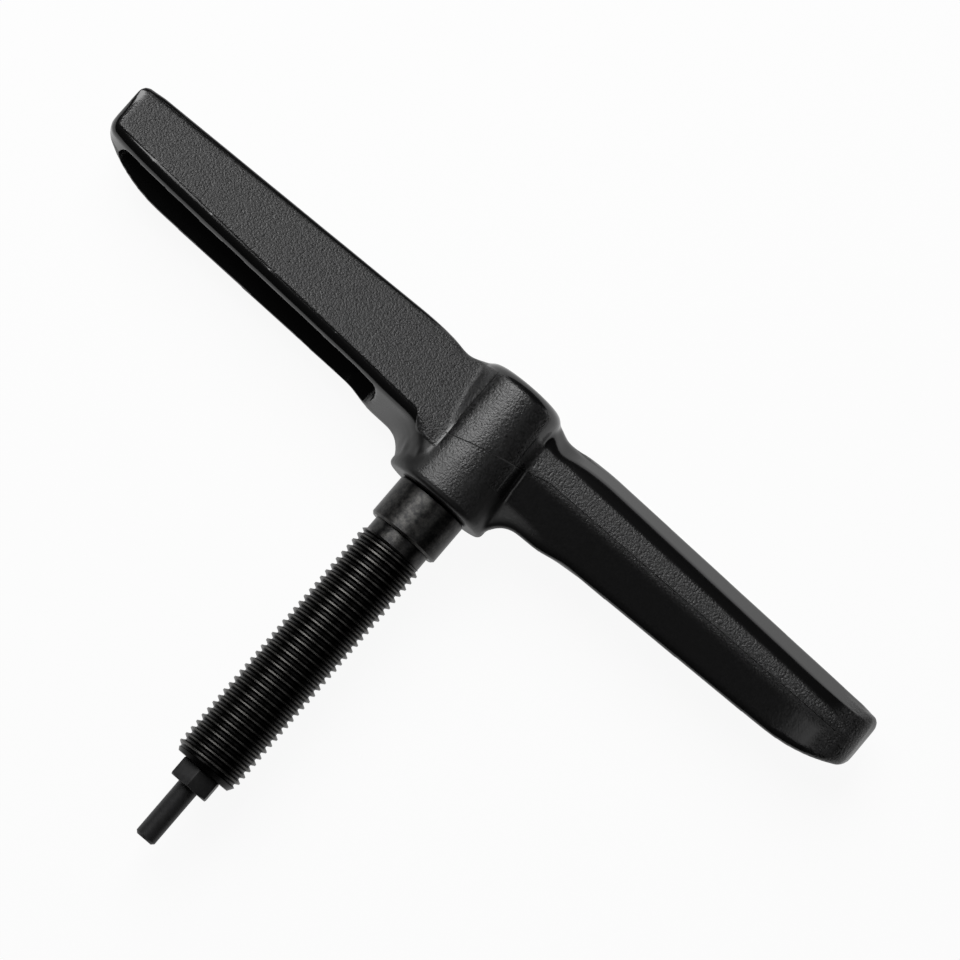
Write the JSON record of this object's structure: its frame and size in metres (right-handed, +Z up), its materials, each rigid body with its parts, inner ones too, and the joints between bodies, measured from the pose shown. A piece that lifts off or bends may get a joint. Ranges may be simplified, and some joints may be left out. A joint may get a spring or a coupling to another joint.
{
  "type": "chain tool drive screw",
  "caption": "T-handled drive screw for a bicycle chain tool: moulded two-armed handle, threaded spindle, hexagon pin retainer and captive push pin.",
  "frame": {"origin": "on the screw's axis, where the drive thread meets the plain neck", "axes": "+X along the right-hand arm, +Y along the screw towards the handle, +Z up; the part lies flat, as in the picture taken from above"},
  "size_m": [0.1262, 0.0761, 0.0154],
  "materials": {
    "handle": "fine spark-eroded grain, near black",
    "spindle": "satin black oxide on steel",
    "pin_retainer": "matte charcoal oxide on steel",
    "push_pin": "matte black oxide on steel"
  },
  "bodies": {
    "screw": {"handle": "handle", "spindle": "spindle", "pin_retainer": "pin_retainer"},
    "pin": {"push_pin": "push_pin"}
  },
  "joints": [
    {"name": "pin_spin", "type": "hinge", "parent": "screw", "child": "pin", "pos_m": [0, -0.0402, 0], "axis": [0, 1, 0], "continuous": true}
  ]
}
